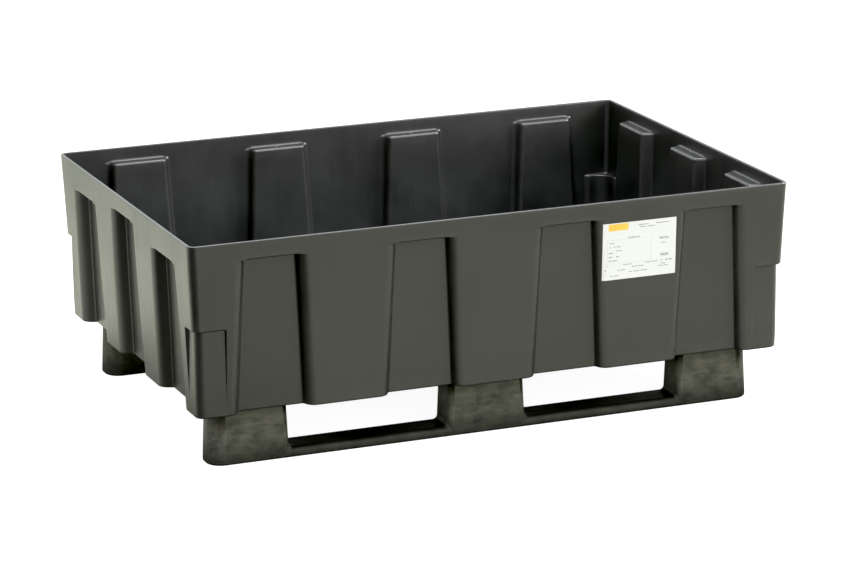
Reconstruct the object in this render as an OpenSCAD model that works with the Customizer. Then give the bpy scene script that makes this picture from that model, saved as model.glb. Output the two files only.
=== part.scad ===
// Spill containment pallet: a sheet-formed plastic tub on two moulded runners.
// Millimetres, +Z up. The origin is on the floor, midway along and across the pallet.
// +X runs along the long side, and -Y faces the side that carries the label.

/* [Tub] */
// Length over the rim
rim_length = 1240; // [1160:10:1300]
// Width over the rim
rim_width = 840; // [800:10:900]
// Height of the rim above the floor
rim_height = 450; // [430:5:500]
// Thickness of the formed sheet
sheet = 6; // [5:0.5:7]
// How far a wall leans inwards for each millimetre of depth
wall_taper = 0.04; // [0.035:0.005:0.05]
// Radius of the upright corners, outside
corner_r = 16; // [12:1:18]
// Radius where the walls turn into the floor, outside
floor_r = 6; // [5:1:12]

/* [Flutes] */
// Sideways lean of a flute's sides, for each millimetre of depth
flute_lean = 0.4; // [0.2:0.05:0.5]

/* [Long side flutes] */
// Distance between neighbouring flutes
long_pitch = 303.5; // [290:0.5:306]
// Depth of a flute behind the wall's outer face
long_depth = 21.5; // [18:0.5:26]
// Width of a flute's opening at its top
long_top_width = 118; // [105:1:124]
// Width of a flute's opening at its foot
long_foot_width = 147; // [130:1:152]
// Distance from the rim down to the outside top of a flute
long_drop = 36; // [30:1:50]

/* [Short side flutes] */
// Distance between neighbouring flutes
short_pitch = 252; // [240:2:254]
// Depth of a flute behind the wall's outer face
short_depth = 24; // [18:0.5:28]
// Width of a flute's opening at its top
short_top_width = 123; // [105:1:126]
// Width of a flute's opening at its foot
short_foot_width = 150; // [130:1:154]
// Distance from the rim down to the outside top of a flute
short_drop = 35; // [30:1:50]
// How much further down the two outer flutes of the left side start
left_extra_drop = 20; // [0:1:30]

/* [Corner recesses] */
// Depth of a corner recess behind the rim's face
corner_depth = 12.5; // [11:0.5:15]
// Length of a corner recess along the long side
corner_length = 71; // [60:1:76]
// Length of a corner recess along the short side
corner_width = 58; // [50:1:60]
// Height of the top of a corner recess above the floor
corner_height = 283; // [250:1:320]
// Radius of the upright corner in a recess, outside
recess_r = 17; // [14:1:20]

/* [Runners] */
// Height of the runners, floor to tub
runner_height = 112; // [104:1:124]
// Length of a runner at its foot
runner_length = 1140; // [1100:2:1150]
// Width of a runner at its foot
runner_width = 76; // [70:1:80]
// Distance from the pallet's centre line to the middle of a runner
runner_offset = 324.5; // [315:0.5:330]
// Height of the ground board under the fork openings
board_height = 19; // [16:1:24]
// Width of the middle block at its foot
middle_block = 164; // [150:2:180]
// Length of an end block at its foot
end_block = 162; // [150:2:180]
// How far a runner's sides lean inwards for each millimetre of height
runner_taper = 0.035; // [0.02:0.005:0.05]
// Radius of a runner's outer corners, seen from above
runner_corner_r = 32; // [24:1:34]
// Radius of a runner's bottom edge
runner_foot_r = 9; // [6:1:12]

/* [Label] */
// Length of the label
label_length = 156; // [120:1:160]
// Height of the label
label_height = 114; // [90:1:118]
// Thickness of the label
label_thickness = 0.3; // [0.2:0.05:0.5]
// Distance from the pallet's middle to the middle of the label
label_x = 298; // [290:1:310]
// Height of the label's middle above the floor
label_z = 349; // [340:1:360]

/* [Fastening] */
// Length of a pad welded under the tub
pad_length = 116; // [104:2:124]
// Width of a pad
pad_width = 46; // [40:1:50]
// Thickness of a pad
pad_thickness = 14; // [13:1:16]
// Distance between the two screws of a block
screw_pitch = 70; // [60:2:80]
// Nominal diameter of the screw thread
screw_d = 8; // [6:1:8]
// Diameter of the screw head
head_d = 13; // [12:0.5:14]
// Height of the screw head
head_height = 7; // [6:0.5:8]
// Length of the screw under its head
screw_length = 45; // [42:1:46]
// Outer diameter of the washer
washer_d = 24; // [20:1:24]
// Thickness of the washer
washer_thickness = 2; // [1.5:0.5:3]
// Outer diameter of the threaded insert
insert_d = 12; // [11:0.5:13]
// Length of the threaded insert
insert_length = 11; // [10:0.5:12]

/* [Hidden] */
$fn = 48;
front = -1;
rear = 1;
left = -1;
right = 1;
corner_steps = 6;
floor_steps = 4;
// Air left between pieces that fit into each other
clearance = 0.3;
// How far a cutter runs past the face that it opens
overcut = 5;
// Air around a washer in its well, around a screw in its bore, and inside a washer
well_gap = 1;
bore_gap = 0.5;
washer_gap = 0.2;
// Closed end of a threaded insert, and the air between it and the tip of its screw
insert_end = 1;
tip_gap = 0.5;
// Hexagon socket of a screw: parts of the head's diameter and of its height
socket_width_part = 0.5;
socket_depth_part = 0.5;

under_z = runner_height;
floor_z = under_z + sheet;
// The sheet is drawn least over the flutes, so the ledges there are a little thicker
ledge_rise = sheet + 2;

long_xs = [for (i = [-1.5:1.5]) i * long_pitch];
short_ys = [for (i = [-1:1]) i * short_pitch];

// The screws rise through the blocks: a wide well from below, a bore, then the insert in its pad
pad_z = under_z - pad_thickness;
well_d = washer_d + 2 * well_gap;
screw_bore_d = screw_d + 2 * bore_gap;
washer_hole_d = screw_d + 2 * washer_gap;
thread_end_z = pad_z + insert_length - insert_end - tip_gap;
seat_z = thread_end_z - screw_length;
washer_z = seat_z - washer_thickness;
block_middle = [-1, 0, 1] * (runner_length - end_block) / 2;
screw_xs = [for (x = block_middle, side = [-1, 1]) x + side * screw_pitch / 2];

// Outline of a rectangle with rounded corners, at one height
function rounded_outline(length, width, r, z) = [
    for (corner = [0:3], step = [0:corner_steps])
        let (
            turn = 90 * corner + 90 * step / corner_steps,
            side_x = (corner == 0 || corner == 3) ? 1 : -1,
            side_y = (corner < 2) ? 1 : -1
        )
        [side_x * (length / 2 - r) + r * cos(turn), side_y * (width / 2 - r) + r * sin(turn), z]
];

// Closed solid through outlines that all have the same number of points, from the lowest up
module loft(outlines) {
    count = len(outlines[0]);
    last = len(outlines) - 1;
    walls = [
        for (level = [0:last - 1], i = [0:count - 1])
            let (
                next = (i + 1) % count,
                low = level * count,
                high = low + count
            )
            each [[low + i, high + i, high + next], [low + i, high + next, low + next]]
    ];
    bottom = [for (i = [0:count - 1]) i];
    top = [for (i = [count - 1:-1:0]) last * count + i];
    polyhedron(points = [for (outline = outlines) each outline], faces = concat([bottom], walls, [top]));
}

// How far the outside of a wall lies behind the rim's face, at a height
function wall_inset(z) = wall_taper * (rim_height - z);

// Tub body without its flutes: shrink is how far it lies inside the outer skin
module tub_body(shrink, base_z, top_z, r_corner, r_floor) {
    function level(z, extra) =
        let (back = wall_inset(z) + shrink + extra)
        rounded_outline(rim_length - 2 * back, rim_width - 2 * back, r_corner, z);
    floor_curve = [
        for (step = [0:floor_steps])
            let (turn = 90 * step / floor_steps)
            level(base_z + r_floor * (1 - cos(turn)), r_floor * (1 - sin(turn)))
    ];
    loft(concat(floor_curve, [level(top_z, 0)]));
}

// Solid that cuts one flute into a wall whose rim face is the plane y = 0, the tub towards +Y.
// Its back lies parallel to the wall, and its sides open outwards.
module flute_cutter(depth, top_width, foot_width, top_z, grow) {
    function level(z) =
        let (
            face = wall_inset(z),
            back = face + depth + grow,
            part = (top_z - z) / (top_z - under_z),
            mouth = (top_width + (foot_width - top_width) * part) / 2 + grow * norm([1, flute_lean]),
            half_out = mouth + flute_lean * (face + overcut),
            half_back = mouth - flute_lean * (depth + grow)
        )
        [[-half_out, -overcut, z], [half_out, -overcut, z], [half_back, back, z], [-half_back, back, z]];
    loft([level(under_z - overcut), level(top_z)]);
}

// Every flute of the tub; grow and rise are 0 for the outer skin, and the sheet for the inner
module flute_cutters(grow, rise) {
    for (x = long_xs, turn = [0, 180])
        rotate(turn)
            translate([x, -rim_width / 2, 0])
                flute_cutter(long_depth, long_top_width, long_foot_width, rim_height - long_drop + rise, grow);
    for (y = short_ys, side = [left, right]) {
        extra_drop = (side == left && y != 0) ? left_extra_drop : 0;
        translate([side * rim_length / 2, y, 0])
            rotate(side * 90)
                flute_cutter(
                    short_depth, short_top_width, short_foot_width,
                    rim_height - short_drop - extra_drop + rise, grow
                );
    }
}

// The shallow recesses at the foot of the four corners
module corner_cutters(grow, rise) {
    tall = corner_height + rise - (under_z - overcut);
    reach = corner_depth + grow;
    r = recess_r - grow;
    for (side_x = [-1, 1], side_y = [-1, 1])
        translate([side_x * rim_length / 2, side_y * rim_width / 2, under_z - overcut])
            scale([-side_x, -side_y, 1]) {
                translate([-overcut, -overcut, 0])
                    cube([corner_length + grow + overcut, reach + overcut, tall]);
                translate([-overcut, -overcut, 0])
                    cube([reach + overcut, corner_width + grow + overcut, tall]);
                translate([reach, reach, 0])
                    difference() {
                        cube([r, r, tall]);
                        translate([r, r, -overcut])
                            cylinder(h = tall + 2 * overcut, r = r);
                    }
            }
}

// The formed tub: the outer skin less the inner one, each with its flutes
module tub() {
    color("#4b4d43")
        difference() {
            tub_body(0, under_z, rim_height, corner_r, floor_r);
            flute_cutters(0, 0);
            corner_cutters(0, 0);
            difference() {
                tub_body(sheet, floor_z, rim_height + overcut, corner_r - sheet, floor_r);
                flute_cutters(sheet, ledge_rise);
                corner_cutters(sheet, sheet);
            }
        }
}

// Adhesive label on the front wall, lying on the lean of the wall
module label() {
    lean = atan(wall_taper);
    color("#f1efe6")
        translate([label_x, -rim_width / 2 + wall_inset(label_z), label_z])
            rotate([lean, 0, 0])
                translate([-label_length / 2, -label_thickness, -label_height / 2])
                    cube([label_length, label_thickness, label_height]);
}

// Solid that cuts one fork opening above the ground board, centred on x and wider above than below
module fork_opening(x, width) {
    top_z = runner_height + overcut;
    reach = runner_width / 2 + overcut;
    low = width / 2 + runner_taper * board_height;
    high = width / 2 + runner_taper * top_z;
    translate([x, 0, 0])
        loft([
            [[-low, -reach, board_height], [low, -reach, board_height],
             [low, reach, board_height], [-low, reach, board_height]],
            [[-high, -reach, top_z], [high, -reach, top_z], [high, reach, top_z], [-high, reach, top_z]],
        ]);
}

// Stepped hole for one screw, from the well in the floor face to the pocket of the pad
module screw_hole() {
    translate([0, 0, -overcut])
        cylinder(h = washer_z + overcut, d = well_d);
    cylinder(h = runner_height, d = screw_bore_d);
}

// One runner: three blocks on a ground board, in one moulding
module runner() {
    function level(z, extra) =
        let (back = runner_taper * z + extra)
        rounded_outline(runner_length - 2 * back, runner_width - 2 * back, runner_corner_r - extra, z);
    foot_curve = [
        for (step = [0:floor_steps])
            let (turn = 90 * step / floor_steps)
            level(runner_foot_r * (1 - cos(turn)), runner_foot_r * (1 - sin(turn)))
    ];
    fork_width = (runner_length - 2 * end_block - middle_block) / 2;
    difference() {
        loft(concat(foot_curve, [level(runner_height, 0)]));
        for (side = [-1, 1])
            fork_opening(side * (middle_block + fork_width) / 2, fork_width);
        for (x = block_middle)
            translate([x, 0, runner_height])
                cube(
                    [pad_length + 2 * clearance, pad_width + 2 * clearance, 2 * (pad_thickness + clearance)],
                    center = true
                );
        for (x = screw_xs)
            translate([x, 0, 0])
                screw_hole();
    }
}

// Pads welded under the tub, one in the top of each block, each bored for two inserts
module weld_pads() {
    for (x = block_middle)
        translate([x, 0, 0])
            difference() {
                translate([-pad_length / 2, -pad_width / 2, pad_z])
                    cube([pad_length, pad_width, pad_thickness]);
                for (side = [-1, 1])
                    translate([side * screw_pitch / 2, 0, pad_z])
                        cylinder(h = insert_length + clearance, d = insert_d);
            }
}

// Blind threaded inserts in the pads
module threaded_inserts() {
    for (x = screw_xs)
        translate([x, 0, pad_z])
            difference() {
                cylinder(h = insert_length, d = insert_d);
                cylinder(h = insert_length - insert_end, d = screw_d);
            }
}

// Plain washers at the tops of the wells
module washers() {
    for (x = screw_xs)
        translate([x, 0, washer_z])
            difference() {
                cylinder(h = washer_thickness, d = washer_d);
                cylinder(h = washer_thickness, d = washer_hole_d);
            }
}

// Screws with hexagon sockets, entered from below
module screws() {
    for (x = screw_xs)
        translate([x, 0, washer_z])
            difference() {
                union() {
                    cylinder(h = washer_thickness + screw_length, d = screw_d - clearance);
                    translate([0, 0, -head_height])
                        cylinder(h = head_height, d = head_d);
                }
                translate([0, 0, -head_height])
                    cylinder(h = socket_depth_part * head_height, d = socket_width_part * head_d, $fn = 6);
            }
}

// Places what belongs to one runner under the front or the rear of the tub
module under_side(side) {
    translate([0, side * runner_offset, 0])
        children();
}

module front_runner() { color("#45463b") under_side(front) runner(); }
module rear_runner() { color("#45463b") under_side(rear) runner(); }
module front_weld_pads() { color("#3a3c36") under_side(front) weld_pads(); }
module rear_weld_pads() { color("#3a3c36") under_side(rear) weld_pads(); }
module front_threaded_inserts() { color("#b08d4a") under_side(front) threaded_inserts(); }
module rear_threaded_inserts() { color("#b08d4a") under_side(rear) threaded_inserts(); }
module front_washers() { color("#b9bcbf") under_side(front) washers(); }
module rear_washers() { color("#b9bcbf") under_side(rear) washers(); }
module front_screws() { color("#a9acb0") under_side(front) screws(); }
module rear_screws() { color("#a9acb0") under_side(rear) screws(); }

tub();
label();
front_runner();
rear_runner();
front_weld_pads();
rear_weld_pads();
front_threaded_inserts();
rear_threaded_inserts();
front_washers();
rear_washers();
front_screws();
rear_screws();
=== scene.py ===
import math

import bmesh
import bpy
import numpy as np
from mathutils import Matrix, Vector, noise


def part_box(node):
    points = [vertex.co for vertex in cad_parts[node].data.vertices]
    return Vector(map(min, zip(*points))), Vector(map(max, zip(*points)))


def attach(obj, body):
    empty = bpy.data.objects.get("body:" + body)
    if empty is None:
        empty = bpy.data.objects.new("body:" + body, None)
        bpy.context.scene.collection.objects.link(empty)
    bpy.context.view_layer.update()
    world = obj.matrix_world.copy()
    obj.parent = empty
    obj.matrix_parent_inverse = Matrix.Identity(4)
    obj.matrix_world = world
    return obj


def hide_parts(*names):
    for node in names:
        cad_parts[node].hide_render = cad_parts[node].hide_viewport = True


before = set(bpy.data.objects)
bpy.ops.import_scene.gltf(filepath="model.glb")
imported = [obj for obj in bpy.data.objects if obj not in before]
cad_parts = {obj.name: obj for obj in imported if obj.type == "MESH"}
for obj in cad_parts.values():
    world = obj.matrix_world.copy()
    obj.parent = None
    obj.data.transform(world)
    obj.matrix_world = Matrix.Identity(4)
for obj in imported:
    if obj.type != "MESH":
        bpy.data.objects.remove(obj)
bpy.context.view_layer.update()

MM = 0.001
ROOT = "root"

# ---------------------------------------------------------------- tub: sizes in millimetres
TUB_LOW, TUB_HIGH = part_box("tub")
HALF_LENGTH = TUB_HIGH.x / MM
HALF_WIDTH = TUB_HIGH.y / MM
RIM_Z = TUB_HIGH.z / MM
UNDER_Z = TUB_LOW.z / MM
SHEET = 6.0
WALL_TAPER = 0.04
CORNER_R = 16.0
RECESS_CORNER_R = 17.0
FLUTE_LEAN = 0.4

LONG_FLUTES = {"centres": (-455.25, -151.75, 151.75, 455.25), "depth": 21.5, "top": 118.0, "foot": 147.0}
SHORT_FLUTES = {"centres": (-252.0, 0.0, 252.0), "depth": 24.0, "top": 123.0, "foot": 150.0}
LONG_TOPS = (414.0, 414.0, 414.0, 414.0)
RIGHT_TOPS = (415.0, 415.0, 415.0)
LEFT_TOPS = (395.0, 415.0, 395.0)
LEDGE_RISE = 8.0

RECESS_DEPTH = 12.5
RECESS_LONG = 71.0
RECESS_SHORT = 58.0
RECESS_Z = 283.0
CORNER_TOP_Z = 408.0

# End of a corner recess: distance past the step, and part of the depth reached there
OUTER_STEP = ((-1.4, 0.0), (-0.7, 0.08), (0.0, 0.5), (0.7, 0.92), (1.4, 1.0))
INNER_STEP = ((10.0, 0.0), (12.0, 0.10), (15.0, 0.60), (18.0, 0.94), (21.0, 1.0))
INNER_STEP_SHORT = ((-2.0, 0.0), (0.0, 0.10), (3.0, 0.60), (6.0, 0.94), (8.0, 1.0))
# A rounding for each edge of the outer and of the inner skin
OUTER = {"grow": 0.0, "rise": 0.0, "shelf_rise": 0.0, "mouth_r": 20.0, "back_r": 4.5,
         "in_r": 2.5, "out_r": 5.0, "corner_r": CORNER_R, "recess_corner_r": RECESS_CORNER_R, "foot_r": 3.5,
         "steps": (OUTER_STEP, OUTER_STEP)}
INNER = {"grow": SHEET, "rise": LEDGE_RISE, "shelf_rise": SHEET, "mouth_r": 10.0, "back_r": 8.0,
         "in_r": 5.0, "out_r": 4.0, "corner_r": CORNER_R - SHEET, "recess_corner_r": 32.0, "foot_r": 8.0,
         "steps": (INNER_STEP, INNER_STEP_SHORT)}
RIM_ROUND_LEFT = 0.9
RIM_ROUND_RIGHT = 2.4
RIM_START_Z = RIM_Z - RIM_ROUND_RIGHT - 0.5
SHELF_R = 2.5

ARC_STEPS = 5
CORNER_STEPS = 10
WAVE_HEIGHT = 0.9
DIMPLE_R = 4.5
DIMPLE_DEPTH = 4.0
DIMPLE_BACK = 4.5
EDGE_WEAR_R = 8.0
# Pale dust tone of the inner skin, faded over this depth below the rim to a part of the full amount at the
# rim: the fading is painted shade under the rim
RIM_SHADE_DEPTH = 160.0
DUST_AT_SHADED_RIM = 0.15


def arc(corner, into, out, radius, steps):
    """Arc that rounds a corner of a path that arrives in direction into and leaves in direction out."""
    start_angle = math.atan2(into[1], into[0])
    end_angle = math.atan2(out[1], out[0])
    turn = end_angle - start_angle
    if abs(turn) < 1e-6:
        return [np.array(corner) for _ in range(steps + 1)]
    side = 1.0 if turn > 0 else -1.0
    tangent = radius * math.tan(abs(turn) / 2)
    start = np.array(corner) - np.array(into) * tangent
    centre = start + side * radius * np.array((-math.sin(start_angle), math.cos(start_angle)))
    points = []
    for step in range(steps + 1):
        angle = start_angle + turn * step / steps
        points.append(centre - side * radius * np.array((-math.sin(angle), math.cos(angle))))
    return points


def flute_half(mouth, depth, mouth_r, back_r):
    """Left half of a flute's outline: (distance along the wall, depth), from the wall to the middle."""
    back = mouth - FLUTE_LEAN * depth
    run = np.array((mouth - back, depth))
    run = run / np.linalg.norm(run)
    along = np.array((1.0, 0.0))
    points = arc((-mouth, 0.0), along, run, mouth_r, ARC_STEPS + 1)
    inner_arc = arc((-back, depth), run, along, back_r, ARC_STEPS)
    points.append((points[-1] + inner_arc[0]) / 2)
    points += inner_arc
    flat_start = inner_arc[-1][0]
    for part in (0.04, 0.36, 0.68):
        points.append(np.array((flat_start * (1 - part) - DIMPLE_R * 1.2 * part, depth)))
    for offset in (-1.2, -0.8, -0.4):
        points.append(np.array((DIMPLE_R * offset, depth)))
    return points


def flute_outline(mouth, depth, mouth_r, back_r):
    half = flute_half(mouth, depth, mouth_r, back_r)
    middle = [np.array((0.0, depth))]
    mirrored = [np.array((-p[0], p[1])) for p in reversed(half)]
    return np.array(half + middle + mirrored)


def spread(count, with_start=False):
    first = 0 if with_start else 1
    return [i / count for i in range(first, count + 1)]


# Rows of the skin from its foot to the rim
PHASES = (
    ("foot", spread(5, True)),
    ("low", spread(6)),
    ("shelf_in", spread(3)),
    ("shelf", spread(2)),
    ("shelf_out", spread(3)),
    ("mid", spread(6)),
    ("ledge_in", spread(5)),
    ("ledge", spread(6)),
    ("ledge_out", spread(5)),
    ("high", spread(3)),
    ("rim", spread(4)),
)
SHELF_BAND = ("shelf_in", "shelf", "shelf_out")
LEDGE_BAND = ("ledge_in", "ledge", "ledge_out")


def mix(a, b, t):
    return a + (b - a) * t


def band_part(phase, t, band):
    return (band.index(phase) + t) / len(band)


def row_height(phase, t, skin, top_z, stepped):
    """Height of a row on a flute ('ledge'), on a corner recess ('shelf') or beside them."""
    base = UNDER_Z + skin["grow"]
    shelf_z = RECESS_Z + skin["shelf_rise"]
    ledge_z = top_z + skin["rise"]
    foot_end = base + skin["foot_r"]
    shelf_start, shelf_end = shelf_z - SHELF_R, shelf_z + SHELF_R
    ledge_start, ledge_end = ledge_z - skin["in_r"], ledge_z + skin["out_r"]
    high_end = RIM_START_Z
    turn = t * math.pi / 2
    if phase == "foot":
        return base + skin["foot_r"] * (1 - math.cos(turn))
    if phase == "low":
        return mix(foot_end, shelf_start, t)
    if phase in SHELF_BAND:
        if stepped == "shelf":
            if phase == "shelf_in":
                return shelf_start + SHELF_R * math.sin(turn)
            if phase == "shelf":
                return shelf_z
            return shelf_z + SHELF_R * (1 - math.cos(turn))
        return mix(shelf_start, shelf_end, band_part(phase, t, SHELF_BAND))
    if phase == "mid":
        return mix(shelf_end, ledge_start, t)
    if phase in LEDGE_BAND:
        if stepped == "ledge":
            if phase == "ledge_in":
                return ledge_start + skin["in_r"] * math.sin(turn)
            if phase == "ledge":
                return ledge_z
            return ledge_z + skin["out_r"] * (1 - math.cos(turn))
        return mix(ledge_start, ledge_end, band_part(phase, t, LEDGE_BAND))
    if phase == "high":
        return mix(ledge_end, high_end, t)
    return mix(high_end, RIM_Z, t)


def step_depth(phase, t, full, in_r, out_r, band):
    """Depth and edge offset of a flute or recess in a row."""
    names = [name for name, _ in PHASES]
    place = names.index(phase)
    first = names.index(band[0])
    turn = t * math.pi / 2
    in_r = min(in_r, full * 0.45)
    out_r = min(out_r, full * 0.45)
    if place < first:
        return full, 0.0
    if phase == band[0]:
        offset = in_r * (1 - math.cos(turn))
        return full - offset, offset
    if phase == band[1]:
        return mix(full - in_r, out_r, t), in_r
    if phase == band[2]:
        return out_r * (1 - math.sin(turn)), in_r
    return 0.0, in_r


def wall_inset(z):
    return WALL_TAPER * (RIM_Z - z)


def flute_columns(phase, t, skin, kind, centre, top_z, extra):
    """(s, depth, z) of each column of a flute in a row, extra further into the tub."""
    z = row_height(phase, t, skin, top_z, "ledge")
    depth, offset = step_depth(phase, t, kind["depth"], skin["in_r"], skin["out_r"], LEDGE_BAND)
    full = kind["depth"] - offset
    ledge_z = top_z + skin["rise"]
    part = (ledge_z - min(z, ledge_z)) / (ledge_z - UNDER_Z)
    grow = skin["grow"] + extra
    slant = math.hypot(1, FLUTE_LEAN)
    mouth = mix(kind["top"], kind["foot"], part) / 2 + grow * (slant - FLUTE_LEAN) - offset * slant
    outline = flute_outline(mouth, full, skin["mouth_r"], max(skin["back_r"] - offset, 0.8))
    return outline[:, 0] + centre, outline[:, 1] * (depth / full), np.full(len(outline), z)


def recess_state(phase, t, skin):
    """Height, depth, edge offset and corner radius of the corner recesses in a row."""
    z = row_height(phase, t, skin, CORNER_TOP_Z, "shelf")
    full = max(RECESS_DEPTH - wall_inset(z), 0.0)
    depth, offset = step_depth(phase, t, full, SHELF_R, SHELF_R, SHELF_BAND)
    sunk = step_depth(phase, t, 1.0, 0.0, 0.0, SHELF_BAND)[0]
    return z, depth, offset, mix(skin["corner_r"], skin["recess_corner_r"], sunk)


def wall_columns(phase, t, skin, wall, extra):
    """(s, inset, z) of every column of a wall in a row, corner arcs apart, extra further into the tub."""
    kind, tops, half, recess_length = wall
    z_corner, recess, offset, corner_r = recess_state(phase, t, skin)
    grow = skin["grow"] + extra
    inset_corner = wall_inset(z_corner) + grow + recess
    arc_end = half - inset_corner - corner_r
    step_at = half - recess_length - grow + offset
    step = skin["steps"][0 if kind is LONG_FLUTES else 1]
    step_s = np.array([past for past, _ in step])
    step_part = np.array([part for _, part in step])
    blocks = []

    flat = np.array(spread(4, True)[:-1])
    start_s = -mix(arc_end, step_at + step_s[-1], flat)
    blocks.append((start_s, np.full(len(flat), recess), np.full(len(flat), z_corner)))
    blocks.append((-step_at - step_s[::-1], recess * step_part[::-1], np.full(5, z_corner)))
    for centre, top_z in zip(kind["centres"], tops):
        blocks.append(flute_columns(phase, t, skin, kind, centre, top_z, extra))
    blocks.append((step_at + step_s, recess * step_part, np.full(5, z_corner)))
    end_s = mix(step_at + step_s[-1], arc_end, np.array(spread(4)))
    blocks.append((end_s, np.full(4, recess), np.full(4, z_corner)))

    joined = [blocks[0]]
    for before, after in zip(blocks, blocks[1:]):
        gap_flat = 1 if (before is blocks[0] or after is blocks[-1]) else 7
        if gap_flat > 1:
            inner = np.array([0.03] + [i / gap_flat for i in range(1, gap_flat)] + [0.97])
            joined.append((
                mix(before[0][-1], after[0][0], inner),
                np.zeros(len(inner)),
                mix(before[2][-1], after[2][0], inner),
            ))
        joined.append(after)
    s = np.concatenate([b[0] for b in joined])
    depth = np.concatenate([b[1] for b in joined])
    z = np.concatenate([b[2] for b in joined])
    return s, wall_inset(z) + grow + depth, z


# Front, right, rear, left: flutes, their tops, half the wall's length, length of the corner recess
WALLS = (
    (LONG_FLUTES, LONG_TOPS, HALF_LENGTH, RECESS_LONG),
    (SHORT_FLUTES, RIGHT_TOPS, HALF_WIDTH, RECESS_SHORT),
    (LONG_FLUTES, LONG_TOPS, HALF_LENGTH, RECESS_LONG),
    (SHORT_FLUTES, LEFT_TOPS, HALF_WIDTH, RECESS_SHORT),
)
AXES = (
    (np.array((1.0, 0.0)), np.array((0.0, 1.0)), HALF_WIDTH),
    (np.array((0.0, 1.0)), np.array((-1.0, 0.0)), HALF_LENGTH),
    (np.array((-1.0, 0.0)), np.array((0.0, -1.0)), HALF_WIDTH),
    (np.array((0.0, -1.0)), np.array((1.0, 0.0)), HALF_LENGTH),
)


def place(wall_index, s, inset):
    """Plan position of a point on a wall, s along it and inset behind the rim's face."""
    along, inward, reach = AXES[wall_index]
    return np.outer(s, along) + np.outer(inset - reach, inward)


def corner_columns(wall_index, inset, radius, z):
    """Points of the rounded corner at the end of a wall, its two ends apart."""
    along, inward, reach = AXES[wall_index]
    half = WALLS[wall_index][2]
    centre = along * (half - inset - radius) - inward * (reach - inset - radius)
    points = []
    for step in range(1, CORNER_STEPS):
        turn = math.pi / 2 * step / CORNER_STEPS
        points.append(centre + radius * (along * math.sin(turn) - inward * math.cos(turn)))
    return np.array(points), np.full(CORNER_STEPS - 1, z)


def wave(x, y, z):
    """Slow unevenness of the formed sheet, in millimetres."""
    spot = Vector((x / 210.0, y / 210.0, z / 170.0))
    fade = min(1.0, (RIM_Z - z) / 60.0) * min(1.0, (z - UNDER_Z) / 40.0)
    return WAVE_HEIGHT * noise.noise(spot) * max(fade, 0.0)


def rim_round(x):
    """The cut rim is crisp at the left and worn rounder towards the right."""
    return mix(RIM_ROUND_LEFT, RIM_ROUND_RIGHT, (x + HALF_LENGTH) / (2 * HALF_LENGTH))


def skin_row(phase, t, skin):
    """One closed row of the skin: an array of (x, y, z), counter-clockwise from above."""
    turn = t * math.pi / 2
    extra = skin["foot_r"] * (1 - math.sin(turn)) if phase == "foot" else 0.0
    rows = []
    for index, wall in enumerate(WALLS):
        s, inset, z = wall_columns(phase, t, skin, wall, extra)
        rows.append(np.column_stack((place(index, s, inset), z)))
        corner_r = recess_state(phase, t, skin)[3]
        corner, corner_z = corner_columns(index, inset[-1], corner_r, z[-1])
        rows.append(np.column_stack((corner, corner_z)))
    row = np.concatenate(rows)
    normal = row_normals()
    for i, point in enumerate(row):
        shift = wave(*point)
        if phase == "rim":
            radius = rim_round(point[0])
            side = 1.0 if skin is OUTER else -1.0
            shift += side * radius * (1 - math.cos(turn))
            point[2] = RIM_Z - radius * (1 - math.sin(turn))
        row[i, :2] += normal[i] * shift
    return row


_normals = []


def row_normals():
    """Direction into the tub for each column."""
    if not _normals:
        for index, wall in enumerate(WALLS):
            count = len(wall_columns("low", 0.5, OUTER, wall, 0.0)[0])
            along, inward, _ = AXES[index]
            _normals.extend([inward] * count)
            for step in range(1, CORNER_STEPS):
                turn = math.pi / 2 * step / CORNER_STEPS
                _normals.append(inward * math.cos(turn) - along * math.sin(turn))
    return _normals


def dimple(row, phase, skin):
    """Small pit in the fillet above three of the inner ledges."""
    if skin is OUTER or phase not in ("ledge", "ledge_out"):
        return
    ledge_z = LONG_TOPS[0] + LEDGE_RISE
    back = wall_inset(ledge_z) + SHEET + DIMPLE_BACK
    spots = [(x, HALF_WIDTH - back) for x in LONG_FLUTES["centres"][1:3]] + [(HALF_LENGTH - back, 0.0)]
    for x, y in spots:
        away = np.hypot(row[:, 0] - x, row[:, 1] - y) / DIMPLE_R
        near = away < 1
        row[near, 2] -= DIMPLE_DEPTH * (1 - away[near] ** 2) ** 2


def skin_rows(skin):
    rows = []
    for phase, parts in PHASES:
        for t in parts:
            row = skin_row(phase, t, skin)
            dimple(row, phase, skin)
            rows.append(row)
    return rows


RING_INSET = 70.0
RING_R = 6.0
RING_SQUEEZE = 22.0
GRID_INSET = 120.0
GRID_X = 26
GRID_Y = 18


def floor_ring(z):
    """Rounded rectangle inside the walls, with one point for each column."""
    points = []
    for index, wall in enumerate(WALLS):
        s = wall_columns("foot", 0.0, OUTER, wall, OUTER["foot_r"])[0]
        end = wall[2] - RING_INSET - RING_R
        straight = end - RING_SQUEEZE
        s = np.interp(s, (s[0], -straight, straight, s[-1]), (-end, -straight, straight, end))
        points.append(place(index, s, np.full(len(s), RING_INSET)))
        points.append(corner_columns(index, RING_INSET, RING_R, z)[0])
    plan = np.concatenate(points)
    return np.column_stack((plan, np.full(len(plan), z)))


def wall_starts():
    """Index of the first column of each wall, and the number of columns."""
    starts, total = [], 0
    for wall in WALLS:
        starts.append(total)
        total += len(wall_columns("low", 0.5, OUTER, wall, 0.0)[0]) + CORNER_STEPS - 1
    return starts, total


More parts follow.
